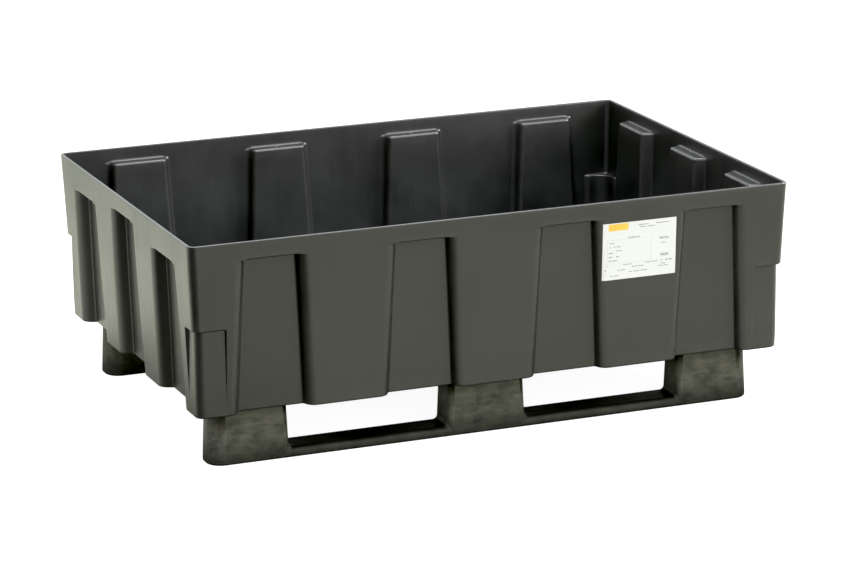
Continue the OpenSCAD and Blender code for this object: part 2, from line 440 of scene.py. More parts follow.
def floor_faces(ring, ring_first, grid_first, upwards):
    """Faces from the ring to a coarse grid and the grid's own, and the grid's points."""
    starts, total = wall_starts()
    half_x, half_y = HALF_LENGTH - GRID_INSET, HALF_WIDTH - GRID_INSET
    z = ring[0][2]
    xs = np.linspace(-half_x, half_x, GRID_X + 1)
    ys = np.linspace(-half_y, half_y, GRID_Y + 1)
    points = [(x, y, z) for y in ys for x in xs]

    def at(i, j):
        return grid_first + j * (GRID_X + 1) + i

    sides = (
        [(at(i, 0), xs[i], 0) for i in range(GRID_X + 1)],
        [(at(GRID_X, j), ys[j], 1) for j in range(GRID_Y + 1)],
        [(at(i, GRID_Y), xs[i], 0) for i in range(GRID_X, -1, -1)],
        [(at(0, j), ys[j], 1) for j in range(GRID_Y, -1, -1)],
    )
    mid = CORNER_STEPS // 2
    faces = []
    for index, side in enumerate(sides):
        first = starts[index] - mid
        last = (starts[index + 1] if index < 3 else total) - mid
        span = np.arange(first, last + 1)
        values = ring[span % total, side[0][2]]
        picks = [int(np.argmin(np.abs(values - value))) for _, value, _ in side]
        picks[0], picks[-1] = 0, len(span) - 1
        for k in range(len(side) - 1):
            outer = [ring_first + int(span[i] % total) for i in range(picks[k], picks[k + 1] + 1)]
            faces.append(outer + [side[k + 1][0], side[k][0]])
    for j in range(GRID_Y):
        for i in range(GRID_X):
            faces.append([at(i, j), at(i + 1, j), at(i + 1, j + 1), at(i, j + 1)])
    if not upwards:
        faces = [face[::-1] for face in faces]
    return points, faces


def tub_mesh():
    """Vertices and faces of the formed tub, in millimetres."""
    rows = skin_rows(OUTER) + skin_rows(INNER)[::-1][1:]
    count = len(rows[0])
    points = [tuple(p) for row in rows for p in row]
    faces = []
    for k in range(len(rows) - 1):
        for i in range(count):
            j = (i + 1) % count
            faces.append((k * count + i, k * count + j, (k + 1) * count + j, (k + 1) * count + i))
    for row_index, upwards in ((0, False), (len(rows) - 1, True)):
        z = rows[row_index][0][2]
        ring = floor_ring(z)
        ring_first = len(points)
        points += [tuple(p) for p in ring]
        for i in range(count):
            j = (i + 1) % count
            a, b = row_index * count + i, row_index * count + j
            quad = (a, b, ring_first + j, ring_first + i)
            faces.append(quad if upwards else quad[::-1])
        grid, grid_faces = floor_faces(ring, ring_first, len(points), upwards)
        points += grid
        faces += grid_faces
    return np.array(points), faces


def face_normals(points, faces):
    """Area vector of each face."""
    areas = np.zeros((len(faces), 3))
    for i, face in enumerate(faces):
        corners = points[list(face)]
        areas[i] = np.cross(corners, np.roll(corners, -1, axis=0)).sum(0) / 2
    return areas


def vertex_normals(points, faces):
    """Normals weighted by area, so that the flats stay flat up to their rounded edges."""
    areas = face_normals(points, faces)
    normals = np.zeros_like(points)
    for area, face in zip(areas, faces):
        normals[list(face)] += area
    return normals / np.maximum(np.linalg.norm(normals, axis=1, keepdims=True), 1e-12)


def edge_amount(mesh, normals, radius):
    """How sharply the surface bends outwards at each vertex: 0 on flats, 1 on edges."""
    co = np.zeros(len(mesh.vertices) * 3)
    mesh.vertices.foreach_get("co", co)
    co = co.reshape(-1, 3)
    ends = np.zeros(len(mesh.edges) * 2, int)
    mesh.edges.foreach_get("vertices", ends)
    ends = ends.reshape(-1, 2)
    away = co[ends[:, 0]] - co[ends[:, 1]]
    length2 = np.maximum((away ** 2).sum(1), 1e-12)
    bend = np.full(len(co), 0.0)
    for a, b, sign in ((0, 1, 1.0), (1, 0, -1.0)):
        curve = 2 * sign * (away * normals[ends[:, a]]).sum(1) / length2
        np.maximum.at(bend, ends[:, a], curve)
    return np.clip(bend * radius, 0.0, 1.0)


def make_object(name, points, faces, smooth=True):
    mesh = bpy.data.meshes.new(name)
    mesh.from_pydata([tuple(p) for p in points], [], [tuple(f) for f in faces])
    mesh.validate()
    mesh.polygons.foreach_set("use_smooth", [smooth] * len(mesh.polygons))
    piece = bpy.data.objects.new(name, mesh)
    bpy.context.scene.collection.objects.link(piece)
    return piece


def add_attribute(piece, name, values):
    attribute = piece.data.attributes.new(name, "FLOAT", "POINT")
    attribute.data.foreach_set("value", np.asarray(values, np.float32))


def inner_dust_and_rim_shade(normals, points):
    """0 on the outer skin, up to 1 on the inner one, whose normals face into the tub or up; lower near the
    rim, as painted shade.
    """
    middle = np.array((0.0, 0.0, RIM_Z * MM * 2))
    inside = ((middle - points) * normals).sum(1) > 0
    # The amount is cut down towards the rim: painted shade under the rim
    return inside * np.clip((RIM_Z * MM - points[:, 2]) / (RIM_SHADE_DEPTH * MM), DUST_AT_SHADED_RIM, 1.0)


def tub():
    points, faces = tub_mesh()
    points = points * MM
    piece = make_object("formed_tub", points, faces)
    normals = vertex_normals(points, faces)
    piece.data.normals_split_custom_set_from_vertices([tuple(n) for n in normals])
    add_attribute(piece, "edge_wear", edge_amount(piece.data, normals, EDGE_WEAR_R * MM))
    add_attribute(piece, "inner_dust_rim_shade", inner_dust_and_rim_shade(normals, points))
    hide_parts("tub")
    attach(piece, ROOT)
    return piece


# ---------------------------------------------------------------- materials
SHEET_DARK = (0.0050, 0.0053, 0.0044, 1)
SHEET_PALE = (0.0080, 0.0084, 0.0068, 1)
SHEET_STREAK = (0.0095, 0.0098, 0.0080, 1)
SHEET_WORN = (0.026, 0.027, 0.024, 1)
SHEET_ROUGH = (0.31, 0.39)
SHEET_IOR = 1.6
DUST_THIN = (0.0060, 0.0064, 0.0063, 1)
DUST_THICK = (0.0165, 0.0176, 0.0172, 1)
RECYCLED_DARK = (0.028, 0.027, 0.019, 1)
RECYCLED_PALE = (0.074, 0.072, 0.053, 1)
RECYCLED_STREAK = (0.092, 0.088, 0.064, 1)
RECYCLED_FLECK = (0.150, 0.142, 0.104, 1)
# Colour of the painted shade on the runners
RECYCLED_PAINTED_SHADE = (0.0030, 0.0030, 0.0020, 1)
RECYCLED_ROUGH = (0.42, 0.58)
RECYCLED_SPECULAR = 0.22
# The runner is darker up to the first height, a painted shade near the floor, and duller up to the second;
# heights above the floor, in metres
LOW_SHADE_HEIGHT = 0.05
DULL_HEIGHT = 0.035
DULLER_BY = 0.18


def new_material(name):
    material = bpy.data.materials.new(name)
    material.use_nodes = True
    nodes = material.node_tree.nodes
    nodes.clear()
    output = nodes.new("ShaderNodeOutputMaterial")
    shader = nodes.new("ShaderNodeBsdfPrincipled")
    material.node_tree.links.new(shader.outputs[0], output.inputs["Surface"])
    return material, shader


def add(material, kind, inputs=None, **settings):
    node = material.node_tree.nodes.new(kind)
    for key, value in settings.items():
        setattr(node, key, value)
    for key, value in (inputs or {}).items():
        set_input(material, node, key, value)
    return node


def set_input(material, node, key, value):
    if isinstance(value, bpy.types.NodeSocket):
        material.node_tree.links.new(value, node.inputs[key])
    else:
        node.inputs[key].default_value = value


def position(material, scale=(1.0, 1.0, 1.0)):
    place_node = add(material, "ShaderNodeTexCoord")
    mapping = add(material, "ShaderNodeMapping", {"Vector": place_node.outputs["Object"], "Scale": scale})
    return mapping.outputs[0]


def noise_at(material, vector, scale, detail=4.0, rough=0.5):
    node = add(material, "ShaderNodeTexNoise",
               {"Vector": vector, "Scale": scale, "Detail": detail, "Roughness": rough})
    return node.outputs["Fac"]


def ramp(material, value, low, high, out_low, out_high):
    node = add(material, "ShaderNodeMapRange",
               {"Value": value, "From Min": low, "From Max": high, "To Min": out_low, "To Max": out_high})
    return node.outputs[0]


def blend_colours(material, factor, first, second, mode="MIX"):
    node = add(material, "ShaderNodeMix", data_type="RGBA", blend_type=mode)
    set_input(material, node, 0, factor)
    set_input(material, node, 6, first)
    set_input(material, node, 7, second)
    return node.outputs[2]


def math_node(material, operation, first, second=None):
    node = add(material, "ShaderNodeMath", operation=operation)
    set_input(material, node, 0, first)
    if second is not None:
        set_input(material, node, 1, second)
    return node.outputs[0]


def bump(material, height, distance, strength=1.0, normal=None):
    node = add(material, "ShaderNodeBump", {"Height": height, "Distance": distance, "Strength": strength})
    if normal is not None:
        set_input(material, node, "Normal", normal)
    return node.outputs[0]


def attribute(material, name):
    return add(material, "ShaderNodeAttribute", attribute_name=name).outputs["Fac"]


def surface_value(material, what, axis):
    """The surface's Position or True Normal along an axis of the shared frame."""
    split = add(material, "ShaderNodeSeparateXYZ")
    geometry = add(material, "ShaderNodeNewGeometry")
    material.node_tree.links.new(geometry.outputs[what], split.inputs["Vector"])
    return split.outputs[axis]


def formed_plastic():
    """Black polyethylene sheet: fine grain, soft sheen, drawn streaks, paler worn edges, dust inside, faded
    near the rim as painted shade.
    """
    material, shader = new_material("formed_black_polyethylene")
    at = position(material)
    drawn = position(material, (1.0, 1.0, 0.12))
    clouds = noise_at(material, at, 9.0, 5.0)
    streaks = noise_at(material, drawn, 60.0, 4.0, 0.6)
    grain = noise_at(material, at, 1500.0, 2.0)
    scuffs = noise_at(material, at, 45.0, 8.0, 0.7)
    body = blend_colours(material, clouds, SHEET_DARK, SHEET_PALE)
    streaky = ramp(material, streaks, 0.45, 0.75, 0.0, 0.3)
    streaked = blend_colours(material, streaky, body, SHEET_STREAK)
    edge = attribute(material, "edge_wear")
    worn = math_node(material, "MULTIPLY", edge, ramp(material, scuffs, 0.4, 0.65, 0.05, 0.5))
    patches = ramp(material, noise_at(material, at, 7.0, 6.0, 0.65), 0.35, 0.65, 0.0, 1.0)
    dust = blend_colours(material, patches, DUST_THIN, DUST_THICK)
    # Dust colour on the inner skin, with painted shade near the rim where the attribute fades it
    dust_and_rim_shade = blend_colours(material, attribute(material, "inner_dust_rim_shade"), streaked, dust)
    colour = blend_colours(material, worn, dust_and_rim_shade, SHEET_WORN)
    set_input(material, shader, "Base Color", colour)
    uneven = math_node(material, "ADD", math_node(material, "MULTIPLY", clouds, 0.75),
                       math_node(material, "MULTIPLY", streaks, 0.25))
    set_input(material, shader, "Roughness", ramp(material, uneven, 0.3, 0.7, *SHEET_ROUGH))
    fine = bump(material, grain, 0.00004, 0.6)
    soft = bump(material, noise_at(material, at, 22.0, 3.0), 0.0006, 0.5, fine)
    ribbed = noise_at(material, position(material, (1.0, 1.0, 0.05)), 95.0, 2.0)
    drawn_lines = bump(material, ribbed, 0.0006, 0.5, soft)
    set_input(material, shader, "Normal", drawn_lines)
    shader.inputs["IOR"].default_value = SHEET_IOR
    return material


def recycled_plastic():
    """Moulded recycled plastic: blotchy and streaky along its length, with painted shade low down and on
    its upward faces under the tub.
    """
    material, shader = new_material("moulded_recycled_plastic")
    at = position(material)
    flow = position(material, (0.25, 1.0, 1.0))
    blotches = noise_at(material, at, 30.0, 6.0, 0.65)
    streaks = noise_at(material, flow, 110.0, 5.0, 0.6)
    specks = noise_at(material, at, 420.0, 3.0, 0.7)
    blotchy = ramp(material, blotches, 0.35, 0.65, 0.0, 1.0)
    base = blend_colours(material, blotchy, RECYCLED_DARK, RECYCLED_PALE)
    streaky = ramp(material, streaks, 0.45, 0.72, 0.0, 0.7)
    streaked = blend_colours(material, streaky, base, RECYCLED_STREAK)
    flecks = ramp(material, specks, 0.62, 0.72, 0.0, 0.6)
    flecked = blend_colours(material, flecks, streaked, RECYCLED_FLECK)
    height = surface_value(material, "Position", "Z")
    upward = surface_value(material, "True Normal", "Z")
    # Painted shade: darker near the floor and on upward faces, which lie under the tub
    low_down = ramp(material, height, 0.0, LOW_SHADE_HEIGHT, 0.75, 0.0)
    on_top = ramp(material, upward, 0.3, 0.9, 0.0, 0.92)
    painted_shade = math_node(material, "MAXIMUM", low_down, on_top)
    shaded_colour = blend_colours(material, painted_shade, flecked, RECYCLED_PAINTED_SHADE)
    set_input(material, shader, "Base Color", shaded_colour)
    sheen = ramp(material, blotches, 0.3, 0.7, *RECYCLED_ROUGH)
    dull = ramp(material, height, 0.0, DULL_HEIGHT, DULLER_BY, 0.0)
    set_input(material, shader, "Roughness", math_node(material, "ADD", sheen, dull))
    shader.inputs["Specular IOR Level"].default_value = RECYCLED_SPECULAR
    coarse = bump(material, noise_at(material, flow, 70.0, 5.0, 0.6), 0.0010, 0.7)
    fine = bump(material, specks, 0.0001, 0.6, coarse)
    set_input(material, shader, "Normal", fine)
    return material


def pad_plastic():
    material, shader = new_material("machined_black_plastic")
    at = position(material)
    turned = noise_at(material, position(material, (1.0, 0.05, 1.0)), 900.0, 3.0)
    clouds = noise_at(material, at, 40.0, 4.0)
    set_input(material, shader, "Base Color",
              blend_colours(material, clouds, (0.014, 0.014, 0.012, 1), (0.026, 0.026, 0.023, 1)))
    set_input(material, shader, "Roughness", ramp(material, turned, 0.3, 0.7, 0.4, 0.6))
    set_input(material, shader, "Normal", bump(material, turned, 0.00008, 0.5))
    return material


def metal(name, dark, light, rough_low, rough_high, scale):
    material, shader = new_material(name)
    at = position(material)
    spangle = noise_at(material, at, scale, 4.0, 0.6)
    scratches = noise_at(material, position(material, (1.0, 0.08, 1.0)), 2400.0, 2.0)
    set_input(material, shader, "Base Color",
              blend_colours(material, ramp(material, spangle, 0.35, 0.65, 0.0, 1.0), dark, light))
    shader.inputs["Metallic"].default_value = 1.0
    set_input(material, shader, "Roughness", ramp(material, scratches, 0.3, 0.7, rough_low, rough_high))
    set_input(material, shader, "Normal", bump(material, scratches, 0.00002, 0.4))
    return material


def paper(name, colour, shade, rough):
    material, shader = new_material(name)
    at = position(material)
    fibres = noise_at(material, at, 700.0, 4.0, 0.6)
    stains = noise_at(material, at, 35.0, 3.0)
    mixed = blend_colours(material, ramp(material, stains, 0.4, 0.7, 0.0, 0.6), colour, shade)
    set_input(material, shader, "Base Color", mixed)
    set_input(material, shader, "Roughness", ramp(material, fibres, 0.3, 0.7, rough - 0.06, rough + 0.06))
    set_input(material, shader, "Normal", bump(material, fibres, 0.00003, 0.3))
    return material


# ---------------------------------------------------------------- runners
BOARD_HEIGHT = 19.0
MIDDLE_HALF = 82.0
END_BLOCK = 162.0
RUNNER_TAPER = 0.035
RUNNER_CORNER_R = 32.0
OPENING_EDGE_R = 12.0
FOOT_EDGE_R = 5.0
PAD_BOX = (116.6, 46.6, 14.3)
WELL_R = 13.0
WELL_TOP_SEAT = 60.5
BORE_R = 4.5
SCREW_PITCH = 70.0


def runner_profile(half_length, height):
    """Side view of a runner: a ground board with three blocks, as (x, z)."""
    low, high = BOARD_HEIGHT, height
    inner = half_length - END_BLOCK

    def out(x, z):
        return x - RUNNER_TAPER * z

    right = [
        (half_length, 0), (out(half_length, high), high),
        (inner + RUNNER_TAPER * high, high), (inner + RUNNER_TAPER * low, low),
        (out(MIDDLE_HALF, low), low), (out(MIDDLE_HALF, high), high),
    ]
    return right + [(-x, z) for x, z in reversed(right)]


def runner_body(name, half_length, half_width, height):
    """The runner about its own middle, its upright edges and its foot rounded."""
    profile = runner_profile(half_length, height)
    mesh = bmesh.new()
    rings = []
    for y in (-half_width, half_width):
        ring = [(x, y * (1 - RUNNER_TAPER * z / half_width), z) for x, z in profile]
        rings.append([mesh.verts.new(point) for point in ring])
    count = len(profile)
    front, rear = rings
    mesh.faces.new(front)
    mesh.faces.new(rear[::-1])
    for i in range(count):
        j = (i + 1) % count
        mesh.faces.new((front[j], front[i], rear[i], rear[j]))
    bmesh.ops.recalc_face_normals(mesh, faces=mesh.faces)
    ends = [e for e in mesh.edges
            if all(abs(v.co.x) > half_length - RUNNER_TAPER * height - 1 for v in e.verts)
            and abs(e.verts[0].co.z - e.verts[1].co.z) > 1]
    bmesh.ops.bevel(mesh, geom=ends, offset=RUNNER_CORNER_R, segments=10, profile=0.5, affect="EDGES")
    openings = [e for e in mesh.edges if edge_is_soft(e, height) and not edge_is_low(e)]
    bmesh.ops.bevel(mesh, geom=openings, offset=OPENING_EDGE_R, segments=8, profile=0.5, affect="EDGES")
    foot = [e for e in mesh.edges if edge_is_soft(e, height) and edge_is_low(e)]
    bmesh.ops.bevel(mesh, geom=foot, offset=FOOT_EDGE_R, segments=5, profile=0.5, affect="EDGES")
    data = bpy.data.meshes.new(name)
    mesh.to_mesh(data)
    mesh.free()
    return data


def edge_is_soft(edge, height):
    """The foot's outline and the edges of the fork openings, not the top or the rounded ends."""
    if len(edge.link_faces) != 2 or edge.calc_face_angle(0.0) < 0.5:
        return False
    zs = [v.co.z for v in edge.verts]
    return not (zs[0] > height - 1 and zs[1] > height - 1)


def edge_is_low(edge):
    return all(v.co.z < 1 for v in edge.verts)


def cylinder(mesh, centre, radius, low, high, segments=48):
    matrix = Matrix.Translation((centre[0], centre[1], (low + high) / 2))
    bmesh.ops.create_cone(mesh, cap_ends=True, segments=segments, radius1=radius, radius2=radius,
                          depth=high - low, matrix=matrix)


def runner_cutters(half_length, height):
    """Wells and bores of the screws, and the pockets of the pads."""
    mesh = bmesh.new()
    step = half_length - END_BLOCK / 2
    for x in (-step, 0.0, step):
        matrix = Matrix.Translation((x, 0, height)) @ Matrix.Diagonal(
            (PAD_BOX[0], PAD_BOX[1], 2 * PAD_BOX[2], 1))
        bmesh.ops.create_cube(mesh, size=1.0, matrix=matrix)
    data = bpy.data.meshes.new("pockets")
    mesh.to_mesh(data)
    mesh.free()
    wells = bmesh.new()
    for x in (-step, 0.0, step):
        for side in (-0.5, 0.5):
            cylinder(wells, (x + side * SCREW_PITCH, 0), WELL_R, -10.0, WELL_TOP_SEAT)
    well_data = bpy.data.meshes.new("wells")
    wells.to_mesh(well_data)
    wells.free()
    bores = bmesh.new()
    for x in (-step, 0.0, step):
        for side in (-0.5, 0.5):
            cylinder(bores, (x + side * SCREW_PITCH, 0), BORE_R, 10.0, height + 10.0, 32)
    bore_data = bpy.data.meshes.new("bores")
    bores.to_mesh(bore_data)
    bores.free()
    return data, well_data, bore_data


def cut(piece, cutters):
    for data in cutters:
        tool = bpy.data.objects.new("cutter", data)
        bpy.context.scene.collection.objects.link(tool)
        modifier = piece.modifiers.new("cut", "BOOLEAN")
        modifier.operation = "DIFFERENCE"
        modifier.solver = "EXACT"
        modifier.object = tool
        bpy.context.view_layer.objects.active = piece
        with bpy.context.temp_override(object=piece, active_object=piece):
            bpy.ops.object.modifier_apply(modifier=modifier.name)
        bpy.data.objects.remove(tool)


def runner(node):
    low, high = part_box(node)
    middle = (low + high) / 2
    half_length = (high.x - low.x) / 2 / MM
    half_width = (high.y - low.y) / 2 / MM
    height = (high.z - low.z) / MM
    name = node.replace("_runner", "_moulded_runner")
    data = runner_body(name, half_length, half_width, height)
    piece = bpy.data.objects.new(name, data)
    bpy.context.scene.collection.objects.link(piece)
    cut(piece, runner_cutters(half_length, height))
    piece.data.transform(Matrix.Translation((middle.x, middle.y, low.z)) @ Matrix.Scale(MM, 4))
    piece.data.polygons.foreach_set("use_smooth", [True] * len(piece.data.polygons))
    bpy.context.view_layer.objects.active = piece
    piece.select_set(True)
    bpy.ops.object.shade_auto_smooth(angle=math.radians(32))
    piece.select_set(False)
    weighted = piece.modifiers.new("flat_sides", "WEIGHTED_NORMAL")
    weighted.keep_sharp = True
    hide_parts(node)
    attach(piece, ROOT)
    return piece


# ---------------------------------------------------------------- label
# The paper stands PAPER_LIFT in front of the wall and the ink on the paper, in millimetres
PAPER_LIFT = 0.03
PAPER_THICK = 0.2
INK_LIFT = PAPER_LIFT + PAPER_THICK
INK_THICK = 0.03
PAPER_GRID = (40, 16)
INK_COLUMNS_PER_LABEL = 24
# Marks on the label from its lower left corner, in parts of its size: x0, x1, z0, z1
LABEL_BAR = (0.075, 0.345, 0.865, 0.985)
LABEL_RULES = (
    (0.06, 0.66, 0.700, 0.706), (0.655, 0.661, 0.285, 0.706), (0.06, 0.66, 0.285, 0.291),
    (0.06, 0.066, 0.285, 0.706),
)


def label_marks():
    """Small grey dashes that stand for print, row by row."""
    marks = []

    def line(z, height, spans):
        for start, end in spans:
            marks.append((start, end, z, z + height))

    line(0.925, 0.014, ((0.48, 0.62), (0.72, 0.90)))
    line(0.885, 0.014, ((0.50, 0.58), (0.60, 0.71)))
    line(0.715, 0.018, ((0.34, 0.37), (0.38, 0.45), (0.46, 0.50)))
    line(0.640, 0.016, ((0.09, 0.12), (0.125, 0.15)))
    line(0.570, 0.018, ((0.09, 0.11), (0.15, 0.17), (0.19, 0.24)))
    line(0.500, 0.016, ((0.18, 0.21), (0.22, 0.26)))
    line(0.465, 0.016, ((0.08, 0.14),))
    line(0.395, 0.018, ((0.08, 0.13), (0.18, 0.22)))
    line(0.330, 0.016, ((0.08, 0.12), (0.13, 0.20)))
    line(0.245, 0.014, ((0.05, 0.07), (0.28, 0.40), (0.58, 0.66), (0.67, 0.75)))
    line(0.195, 0.014, ((0.40, 0.47), (0.48, 0.56), (0.80, 0.86)))
    line(0.165, 0.022, ((0.03, 0.05),))
    line(0.155, 0.014, ((0.20, 0.24), (0.25, 0.31), (0.76, 0.83), (0.84, 0.90)))
    line(0.110, 0.014, ((0.36, 0.40), (0.42, 0.50), (0.52, 0.61)))
    line(0.060, 0.014, ((0.10, 0.14), (0.15, 0.22)))
    for z, spans in (
        (0.640, ((0.775, 0.80), (0.81, 0.835), (0.845, 0.86), (0.87, 0.90))),
        (0.660, ((0.775, 0.79), (0.80, 0.82), (0.84, 0.86), (0.87, 0.88))),
        (0.560, ((0.80, 0.815), (0.82, 0.835), (0.845, 0.86))),
        (0.365, ((0.79, 0.81), (0.82, 0.84), (0.85, 0.87), (0.88, 0.90))),
        (0.340, ((0.79, 0.90),)),
        (0.250, ((0.80, 0.82), (0.86, 0.89), (0.90, 0.95))),
    ):
        line(z, 0.020, spans)
    return marks


def outer_depth(x, z):
    """How far the outer skin lies behind the front wall's face at a spot of the front wall."""
    total = 0.0
    for centre, top_z in zip(LONG_FLUTES["centres"], LONG_TOPS):
        part = (top_z - min(z, top_z)) / (top_z - UNDER_Z)
        mouth = mix(LONG_FLUTES["top"], LONG_FLUTES["foot"], part) / 2
        if z > top_z or abs(x - centre) > mouth + OUTER["mouth_r"]:
            continue
        outline = flute_outline(mouth, LONG_FLUTES["depth"], OUTER["mouth_r"], OUTER["back_r"])
        total += float(np.interp(x - centre, outline[:, 0], outline[:, 1], left=0.0, right=0.0))
    return total


def label_point(x, z, lift):
    """A spot on the label, on the tub's skin and lift in front of it."""
    y = -HALF_WIDTH + wall_inset(z) + outer_depth(x, z) - lift
    y += wave(x, -HALF_WIDTH + wall_inset(z), z)
    return (x, y, z)


def patch(points, faces, materials, box, lift, thick, index, columns, rows):
    """A thin plate that follows the skin, with its front, back and rims."""
    x0, x1, z0, z1 = box
    first = len(points)
    for level in (lift + thick, lift):
        for j in range(rows + 1):
            for i in range(columns + 1):
                points.append(label_point(mix(x0, x1, i / columns), mix(z0, z1, j / rows), level))
    layer = (columns + 1) * (rows + 1)

    def at(i, j, back=0):
        return first + back * layer + j * (columns + 1) + i

    for j in range(rows):
        for i in range(columns):
            faces.append((at(i, j), at(i + 1, j), at(i + 1, j + 1), at(i, j + 1)))
            faces.append((at(i, j, 1), at(i, j + 1, 1), at(i + 1, j + 1, 1), at(i + 1, j, 1)))
            materials += [index, index]
    for i in range(columns):
        faces.append((at(i, 0, 1), at(i + 1, 0, 1), at(i + 1, 0), at(i, 0)))
        faces.append((at(i, rows), at(i + 1, rows), at(i + 1, rows, 1), at(i, rows, 1)))
        materials += [index, index]
    for j in range(rows):
        faces.append((at(0, j), at(0, j + 1), at(0, j + 1, 1), at(0, j, 1)))
        faces.append((at(columns, j, 1), at(columns, j + 1, 1), at(columns, j + 1), at(columns, j)))
        materials += [index, index]


def label():
    low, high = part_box("label")
    x0, x1, z0, z1 = low.x / MM, high.x / MM, low.z / MM, high.z / MM
    points, faces, materials = [], [], []
    patch(points, faces, materials, (x0, x1, z0, z1), PAPER_LIFT, PAPER_THICK, 0, *PAPER_GRID)
    width, height = x1 - x0, z1 - z0
    ink = [(LABEL_BAR, 1)] + [(b, 2) for b in LABEL_RULES] + [(b, 3) for b in label_marks()]
    for (a, b, c, d), index in ink:
        box = (x0 + a * width, x0 + b * width, z0 + c * height, z0 + d * height)
        columns = max(2, int((b - a) * INK_COLUMNS_PER_LABEL))
        patch(points, faces, materials, box, INK_LIFT, INK_THICK, index, columns, 2)
    piece = make_object("label_print", np.array(points) * MM, faces, smooth=False)
    for material in (
        paper("label_paper", (0.55, 0.545, 0.535, 1), (0.53, 0.525, 0.51, 1), 0.45),
        paper("label_orange_ink", (0.62, 0.36, 0.05, 1), (0.66, 0.44, 0.08, 1), 0.4),
        paper("label_rule_ink", (0.44, 0.45, 0.43, 1), (0.40, 0.41, 0.39, 1), 0.5),
        paper("label_grey_ink", (0.24, 0.245, 0.23, 1), (0.19, 0.195, 0.185, 1), 0.5),
    ):
        piece.data.materials.append(material)
    piece.data.polygons.foreach_set("material_index", materials)
    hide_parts("label")
    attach(piece, ROOT)
    return piece


# ---------------------------------------------------------------- carried-over CAD nodes
def dress(node, material):
    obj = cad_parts[node]
    obj.data.materials.clear()
    obj.data.materials.append(material)


# ---------------------------------------------------------------- studio and camera
FLOOR_SIZE = 60.0
FLOOR_GLOW = 0.93
FLOOR_SEEN = (0.30, 0.30, 0.30, 1)
FLOOR_ALBEDO = (0.80, 0.815, 0.665, 1)
FLOOR_ALBEDO_SHADE = (0.78, 0.795, 0.645, 1)
# The floor in front on the left is darker, where the studio's room is
FLOOR_SHADE_AXIS = (1.0, -0.15, 0.0)
FLOOR_DARK_AT = -0.85
FLOOR_LIGHT_AT = -0.10
FLOOR_DARK_AHEAD = -0.5
FLOOR_LIGHT_BEHIND = 0.15
FLOOR_DARK = 0.10
# and a little less bright in front than behind
FLOOR_BACK_AT = 0.1
FLOOR_FRONT_AT = -0.8
FLOOR_FRONT = 0.75
# The floor under the tub and close to it lies in its shade
FLOOR_UNDER = 0.05
FLOOR_UNDER_TO = 0.90
FLOOR_CLEAR_FROM = 1.50
SKY_LEVEL = 1.35
SKY_COLOUR = (0.95, 0.98, 1.0, 1)
# Part of the sky's light that is missing in the room's dark direction
ROOM_DIRECTION = (-0.45, -0.89, 0.0)
ROOM_DEPTH = 0.95
KEY_DIRECTION = (0.40, -0.85, 0.40)
KEY_LEVEL = 1.9
FILL_DIRECTION = (-0.35, -0.88, 0.32)
FILL_LEVEL = 1.2
BACK_DIRECTION = (-0.35, 0.93, 0.10)
BACK_LEVEL = 0.7
SOFTBOX_PLACE = (0.10, 0.0, 2.3)
SOFTBOX_SIZE = (2.2, 1.2)
SOFTBOX_WATTS = 66.0
# A second softbox on the right lights only the tub, over its right wall
SIDE_PLACE = (2.2, -0.7, 1.5)
SIDE_AIM = (0.0, 0.1, 0.30)
SIDE_SIZE = (1.0, 0.8)
SIDE_WATTS = 105.0
CAMERA_PLACE = (-2.645, -6.663, 2.164)
CAMERA_RIGHT = (0.92758, -0.37349, -0.01047)
CAMERA_UP = (0.10766, 0.24033, 0.96470)
CAMERA_AHEAD = (0.35779, 0.89596, -0.26313)
LENS = 155.67
BLACK_LEVEL = (0.009, 0.009, 0.0095)


